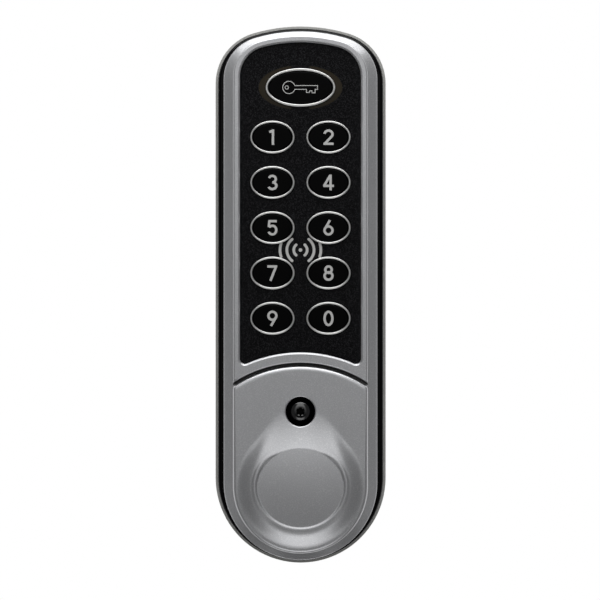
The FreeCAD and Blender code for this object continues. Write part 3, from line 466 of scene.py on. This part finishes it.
# %% Measures of the handle, from the frame
handle_low, handle_high = (np.array(corner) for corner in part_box("handle"))
half_width = handle_high[0]
top_radius = handle_high[2]
boss_top = -handle_low[1]
plate_back = -handle_high[1]
boss_rise = 1.5 * MM
rim_rise = 0.24 * MM
rim_half_width = 0.65 * MM
rim_offset = 0.55 * MM             # from the face's edge to the rim's crest
dome_rise = 0.34 * MM
face_step = 0.12 * MM              # the round face lies this much below the shoulder around it
neck_half_width = 4.2 * MM         # the neck's full height holds this far from the middle
neck_fade = 7.4 * MM
plate_top = boss_top - boss_rise
edge_round = 0.9 * MM
corner_round = 1.0 * MM
print("handle half width", round(half_width, 4), "top radius", round(top_radius, 4))


# %% Height of the handle's front
def ease(value):
    """A smooth step: zero below 0, one above 1, level at both ends."""
    t = np.clip(value, 0, 1)
    return t * t * (3 - 2 * t)


def handle_height(x, z):
    """Height of the front above the door.

    The boss is a plateau. Its flank falls from the shoulder to the foot as a smooth step. In the band
    above the face a neck falls instead as one minus the distance to a power, and runs further up the
    handle. The round face sits a little low, has a dome of one minus the radius squared, and is
    narrower from top to bottom than across. A rim stands beside it and dies away above and below.
    """
    radius = np.hypot(x, z)
    upward = z / np.maximum(radius, 1e-9)
    neck = (1 - ease((np.abs(x) - neck_half_width) / neck_fade)) * ease((upward + 0.05) / 0.6)
    face_edge = (11.0 - 1.05 * upward ** 2 - 0.45 * upward * np.abs(upward)) * MM
    start = face_edge + (0.9 - 0.8 * neck) * MM
    foot = (16.2 + 3.1 * neck) * MM
    rise = boss_top - plate_top - rim_rise
    along = np.clip((radius - start) / (foot - start), 0, 1)
    flank = (1 - ease(along)) * (1 - neck) + (1 - along) ** 1.7 * neck
    crest = (radius - face_edge - rim_offset) / rim_half_width
    rim = rim_rise * np.clip(1 - crest ** 2, 0, 1) * (1 - neck) * (1 - 0.85 * ease(np.abs(upward) / 0.9))
    dome = dome_rise * np.clip(1 - (radius / face_edge) ** 2, 0, 1)
    step = face_step * ease((radius - face_edge + 0.2 * MM) / (0.4 * MM)) * (1 - neck)
    return plate_top + (rise - face_step + step) * flank + rim + dome


# %% Outline of the handle
def handle_reach(angle):
    """Distance from the axis to the plate's edge: the side, the top arc or the round end, whichever
    comes first, with the corner softened by a smooth minimum."""
    sine, cosine = np.sin(angle), np.cos(angle)
    side = half_width / np.maximum(np.abs(sine), 1e-6)
    side = np.where(cosine < 0, half_width, side)
    sharpness = 4.0 / corner_round
    return -np.log(np.exp(-side * sharpness) + np.exp(-top_radius * sharpness)) / sharpness


# %% Grid mesh helper
sharp_angle = math.radians(35)      # an edge that turns more than this stays crisp


def grid_piece(name, points, material, body, cap_start=False, cap_end=False):
    """A surface from an array of rows of points. Each row closes on itself, and an end row may be
    filled with one face."""
    rows, columns, _ = points.shape
    index = np.arange(rows * columns).reshape(rows, columns)
    right = np.roll(index, -1, axis=1)
    faces = np.stack([index[:-1], right[:-1], right[1:], index[1:]], -1).reshape(-1, 4).tolist()
    if cap_start:
        faces.append(index[0, ::-1].tolist())
    if cap_end:
        faces.append(index[-1].tolist())
    return add_piece(name, points.reshape(-1, 3), faces, material, body)


def add_piece(name, points, faces, material, body):
    """A mesh object with its finish, riding a body."""
    mesh = bpy.data.meshes.new(name)
    mesh.from_pydata(np.asarray(points).tolist(), [], faces)
    mesh.validate()
    mesh.shade_smooth()
    mesh.set_sharp_from_angle(angle=sharp_angle)
    mesh.materials.append(finishes[material])
    piece = bpy.data.objects.new(name, mesh)
    bpy.context.collection.objects.link(piece)
    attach(piece, body)
    print(name, len(mesh.polygons), "faces")
    return piece


# %% The handle's shell
screw_low, screw_high = (np.array(corner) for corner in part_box("handle_screw"))
screw_z = (screw_low[2] + screw_high[2]) / 2
well_radius = 3.7 * MM
well_lip = 0.35 * MM
well_depth = 1.7 * MM
screw_shank = 2.05 * MM


def handle_rings(columns=720):
    """Rows of points: level rings on the boss, stretched rings on the plate, then the rounded edge,
    the side and the back."""
    angle = np.linspace(0, 2 * np.pi, columns, endpoint=False)
    reach = handle_reach(angle)
    inner = np.linspace(0.05, 12.6, 74) * MM
    near = inner[:, None] + 0 * angle
    spread = np.linspace(0, 1, 42)[1:, None]
    far = inner[-1] + spread * (reach - edge_round - inner[-1])
    radius = np.vstack([near, far])
    x, z = radius * np.sin(angle), radius * np.cos(angle)
    front = np.stack([x, -handle_height(x, z), z], -1)
    bend = np.linspace(0, np.pi / 2, 8)[1:, None]
    edge_height = handle_height((reach - edge_round) * np.sin(angle), (reach - edge_round) * np.cos(angle))
    edge_radius = reach - edge_round * (1 - np.sin(bend))
    edge_level = edge_height - edge_round * (1 - np.cos(bend))
    rounded = np.stack([edge_radius * np.sin(angle), -edge_level, edge_radius * np.cos(angle)], -1)
    back_radius = np.array([[1.0], [0.6]]) * reach
    back = np.stack([back_radius * np.sin(angle), 0 * back_radius - plate_back,
                     back_radius * np.cos(angle)], -1)
    return np.concatenate([front, rounded, back])


shell = grid_piece("handle_shell", handle_rings(), "silver_paint", "handle", cap_start=True, cap_end=True)
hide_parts("handle")


# %% Cut the screw's well out of the shell
def cut_round_hole(piece, radius, centre_z, low, high):
    """A Boolean modifier takes a cylinder out of the piece, and is applied at once."""
    columns = 160
    angle = np.linspace(0, 2 * np.pi, columns, endpoint=False)
    ring = np.stack([radius * np.sin(angle), 0 * angle, centre_z + radius * np.cos(angle)], -1)
    rows = np.stack([ring + (0, -high, 0), ring + (0, -low, 0)])
    index = np.arange(2 * columns).reshape(2, columns)
    right = np.roll(index, -1, axis=1)
    faces = np.stack([index[0], right[0], right[1], index[1]], -1).tolist()
    faces += [index[0, ::-1].tolist(), index[1].tolist()]
    mesh = bpy.data.meshes.new("cutter")
    mesh.from_pydata(rows.reshape(-1, 3).tolist(), [], faces)
    cutter = bpy.data.objects.new("cutter", mesh)
    bpy.context.collection.objects.link(cutter)
    modifier = piece.modifiers.new("well", "BOOLEAN")
    modifier.object = cutter
    modifier.operation = "DIFFERENCE"
    modifier.solver = "EXACT"
    graph = bpy.context.evaluated_depsgraph_get()
    cut_mesh = bpy.data.meshes.new_from_object(piece.evaluated_get(graph))
    piece.modifiers.clear()
    piece.data = cut_mesh
    cut_mesh.set_sharp_from_angle(angle=sharp_angle)
    bpy.data.objects.remove(cutter)
    print(piece.name, "now has", len(cut_mesh.polygons), "faces")


cut_round_hole(shell, well_radius + well_lip, screw_z, plate_top - well_depth, boss_top + MM)


# %% The well: a silver lip, then a wall and floor in painted shade, a near-black finish standing in for the deep hole's shadow
def well_lip_rows(columns=160):
    """Rings about the screw's axis: the first follows the handle's front, and a quarter round leads
    down to the wall."""
    angle = np.linspace(0, 2 * np.pi, columns, endpoint=False)
    bend = np.linspace(0, np.pi / 2, 9)[:, None]
    outer = well_radius + well_lip
    level = handle_height(outer * np.sin(angle), screw_z + outer * np.cos(angle))
    radius = outer - well_lip * np.sin(bend) + 0 * angle
    height = level - well_lip * (1 - np.cos(bend))
    return np.stack([radius * np.sin(angle), -height, screw_z + radius * np.cos(angle)], -1)


def well_wall_rows(lip):
    """From the lip's last ring straight down to the floor, then inwards to the screw's shank."""
    wall = lip[-1]
    floor = wall.copy()
    floor[:, 1] = -(plate_top - well_depth)
    centre = np.array([0, -(plate_top - well_depth), screw_z])
    inner = centre + (floor - centre) * (screw_shank / well_radius)
    return np.stack([wall, floor, inner])


lip_rows = well_lip_rows()
grid_piece("screw_well_lip", lip_rows, "silver_paint", "handle")
grid_piece("screw_well_wall", well_wall_rows(lip_rows), "painted_shade_black", "handle")

# %% [markdown]
# The screw that holds the handle is a black button head with a six-lobed socket. Its outline is turned
# about the screw's own axis: shank, underside, a domed head, a small chamfer, and the socket, where the
# radius swells six times in each turn.

# %% Screw
screw_seat = plate_top - well_depth
screw_top = screw_seat + 1.50 * MM
around = np.linspace(0, 2 * np.pi, 144, endpoint=False)
lobes = (0.93 + 0.10 * np.cos(6 * around)) * MM


def screw_rings(radius, height):
    """Each row is a ring about the screw's axis: x is the radius times the sine of the angle, z the
    radius times its cosine, and y minus the height."""
    radius = np.stack([np.broadcast_to(row, around.shape) for row in radius])
    height = np.array(height)[:, None] + 0 * radius
    return np.stack([radius * np.sin(around), -height, screw_z + radius * np.cos(around)], -1)


bend = np.linspace(0, np.pi / 2, 12)
dome_radius = (1.12 + 1.58 * np.cos(bend)) * MM
dome_height = screw_seat + (0.35 + 1.15 * np.sin(bend)) * MM
screw = grid_piece("screw_body", screw_rings(
    [2.0 * MM, 2.0 * MM, 2.70 * MM, *dome_radius, 1.05 * MM, lobes, lobes],
    [-screw_high[1], screw_seat, screw_seat, *dome_height, screw_top - 0.10 * MM, screw_top - 0.20 * MM,
     screw_top - 0.95 * MM]), "screw_black", "handle", cap_start=True, cap_end=True)
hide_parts("handle_screw")

# %% Lining of the screw's socket: painted shade, a near-black finish where the deep socket lies in shadow
inside = lobes - 0.015 * MM
grid_piece("screw_socket", screw_rings(
    [inside, inside, 0.6 * MM, 0.02 * MM],
    [screw_top - 0.16 * MM, screw_top - 0.92 * MM, screw_top - 0.93 * MM, screw_top - 0.93 * MM]),
    "painted_shade_black", "handle")

# %% [markdown]
# ## Print
#
# The digits and symbols are thin raised ink, a few hundredths of a millimetre thick. Each is a set of
# strokes. A stroke is a path on the face with a half width, turned into a flat ribbon with square or
# round ends. The digits are plain sans-serif shapes made of arcs and straight bars.

# %% Strokes
def stroke(path, half, low, high, closed=False, round_ends=False):
    """A ribbon along a path of (x, z) points between two heights. At each point it is widened along
    the mean of the two neighbouring normals, divided by the cosine of half the turn, as in a mitre.
    Round ends narrow it as a semicircle, the root of one minus the square of the distance."""
    path = np.asarray(path, float)
    if round_ends:
        path, half = round_off_ends(path, half)
    ahead = np.roll(path, -1, axis=0) - path
    behind = path - np.roll(path, 1, axis=0)
    if not closed:
        ahead[-1], behind[0] = behind[-1], ahead[0]
    normals = []
    for step in (ahead, behind):
        step = step / np.linalg.norm(step, axis=1, keepdims=True)
        normals.append(np.stack([-step[:, 1], step[:, 0]], -1))
    mean = normals[0] + normals[1]
    mean /= np.linalg.norm(mean, axis=1, keepdims=True)
    turn = np.maximum(np.sum(mean * normals[0], axis=1, keepdims=True), 0.4)
    offset = mean * np.reshape(half, (-1, 1)) / turn
    left, right = path + offset, path - offset
    rows = [np.stack([side[:, 0], 0 * side[:, 0] - height, side[:, 1]], -1)
            for side, height in ((left, low), (left, high), (right, high), (right, low))]
    points = np.stack(rows, axis=1)
    count = len(path)
    index = np.arange(count * 4).reshape(count, 4)
    following = np.roll(index, -1, axis=0)
    around = np.roll(index, -1, axis=1)
    around_following = np.roll(following, -1, axis=1)
    quads = np.stack([index, around, around_following, following], -1)
    if not closed:
        quads = quads[:-1]
    faces = quads.reshape(-1, 4).tolist()
    if not closed:
        faces += [index[0, ::-1].tolist(), index[-1].tolist()]
    return points.reshape(-1, 3), faces


def round_off_ends(path, half, steps=10):
    """Adds a semicircle's worth of points beyond each end, with the half width at every point."""
    bend = np.linspace(0, np.pi / 2, steps + 1)[1:-1, None]
    first = path[0] - path[1]
    last = path[-1] - path[-2]
    start = path[0] + first / np.linalg.norm(first) * half * np.sin(bend[::-1])
    end = path[-1] + last / np.linalg.norm(last) * half * np.sin(bend)
    narrow = half * np.cos(bend[:, 0])
    widths = np.concatenate([narrow[::-1], np.full(len(path), half), narrow])
    return np.concatenate([start, path, end]), widths


def arc(centre, radii, start, end, steps=40):
    """Points on an ellipse's arc. Angles are in degrees from +X towards +Z."""
    angle = np.radians(np.linspace(start, end, steps))
    return np.stack([centre[0] + radii[0] * np.cos(angle), centre[1] + radii[1] * np.sin(angle)], -1)


def loop(centre, radii, steps=64):
    """Points all round an ellipse, without a repeated last one."""
    return arc(centre, radii, 0, 360, steps + 1)[:-1]


def gather(strokes):
    """Joins several strokes' points and faces into one mesh's lists."""
    points, faces, count = [], [], 0
    for stroke_points, stroke_faces in strokes:
        points.append(stroke_points)
        faces += [[corner + count for corner in face] for face in stroke_faces]
        count += len(stroke_points)
    return np.concatenate(points), faces


# %% Digits
digit_half = 1.66            # of a digit's height along its strokes' middle lines, in mm
digit_side = 1.0
ink_half = 0.30
lower, upper = -digit_half, digit_half

digit_paths = {
    "1": [([(0.14, -1.96), (0.14, 1.96)], False), ([(-0.80, 1.30), (-0.28, 1.46), (0.14, 1.72)], False)],
    "2": [(np.concatenate([arc((0, 0.72), (digit_side, 0.94), 172, -30), [(-0.94, lower)]]), False),
          ([(-1.26, lower), (1.28, lower)], False)],
    "3": [(arc((-0.02, 0.84), (0.86, 0.82), 160, -90), False),
          (arc((0, -0.82), (digit_side, 0.84), 90, -160), False)],
    "4": [([(0.52, -1.96), (0.52, 1.96)], False), ([(-1.34, -0.86), (1.36, -0.86)], False),
          ([(-1.08, -0.80), (0.44, 1.78)], False)],
    "5": [([(-0.96, upper), (1.10, upper)], False), ([(-0.76, 1.80), (-0.90, 0.16)], False),
          (arc((-0.02, -0.58), (digit_side, 1.08), 142, -156), False)],
    "6": [(loop((0, -0.66), (1.0, 1.0)), True), ([(-0.88, -0.24), (0.36, 1.92)], False)],
    "7": [([(-1.28, upper), (1.20, upper)], False), ([(0.98, 1.80), (-0.50, -1.96)], False)],
    "8": [(loop((0, 0.86), (0.80, 0.80)), True), (loop((0, -0.72), (1.0, 0.94)), True)],
    "9": [(loop((0, 0.66), (1.0, 1.0)), True), ([(0.88, 0.24), (-0.36, -1.92)], False)],
    "0": [(loop((0, 0), (0.98, digit_half)), True)],
}


def print_piece(name, strokes, body):
    """Strokes of pale ink as one piece."""
    points, faces = gather(strokes)
    return add_piece(name, points, faces, "print_white", body)


ink_thickness = 0.03 * MM
for digit, paths in digit_paths.items():
    key_low, key_high = (np.array(corner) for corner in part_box("key_" + digit))
    middle = (key_low + key_high)[[0, 2]] / 2
    face = -key_low[1]
    strokes = [stroke(np.asarray(path) * MM + middle, ink_half * MM, face - ink_thickness,
                      face + ink_thickness * (1 + 0.1 * layer), closed)
               for layer, (path, closed) in enumerate(paths)]
    print_piece("digit_" + digit, strokes, "key_" + digit)

# %% [markdown]
# The symbol between the keys shows where a wireless tag is held: a dot with waves to each side. The top
# key has a small outline of a key.

# %% Wave symbol
fascia_front = -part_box("keypad_fascia")[0][1]
wave_centre = (0.0, 59.4 * MM)
wave_half = 0.34 * MM
wave_strokes = []
for radius, spread in ((1.69, 50), (3.42, 52), (5.14, 19)):
    for side in (0, 180):
        path = arc(wave_centre, (radius * MM, radius * MM), side - spread, side + spread)
        wave_strokes.append(stroke(path, wave_half, fascia_front - ink_thickness,
                                   fascia_front + ink_thickness, round_ends=True))
dot_middle = 0.23 * MM             # the dot is a ring of this radius, nearly as thick as it is wide
dot_half = 0.225 * MM
dot = loop(wave_centre, (dot_middle, dot_middle), 32)
wave_strokes.append(stroke(dot, dot_half, fascia_front - ink_thickness, fascia_front + ink_thickness,
                           closed=True))
print_piece("wave_symbol", wave_strokes, "lock_body")

# %% Key outline on the top key
enter_low, enter_high = (np.array(corner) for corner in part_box("enter_key"))
enter_middle = (enter_low + enter_high)[[0, 2]] / 2
enter_face = -enter_low[1]
bow = arc((-2.9, 0), (1.55, 1.55), 18, 342, 48)
teeth = [(1.5, -0.48), (1.5, -1.25), (2.3, -1.25), (2.3, -0.85), (2.9, -0.85), (2.9, -1.35), (3.7, -1.35),
         (3.7, -0.48), (4.3, -0.48), (4.3, 0.48)]
key_outline = np.concatenate([bow, teeth])
hole = loop((-3.45, 0), (0.42, 0.42), 32)
line_half = 0.085 * MM
print_piece("key_symbol", [
    stroke(np.asarray(path) * MM + enter_middle, line_half, enter_face - ink_thickness,
           enter_face + ink_thickness, closed=True) for path in (key_outline, hole)], "enter_key")
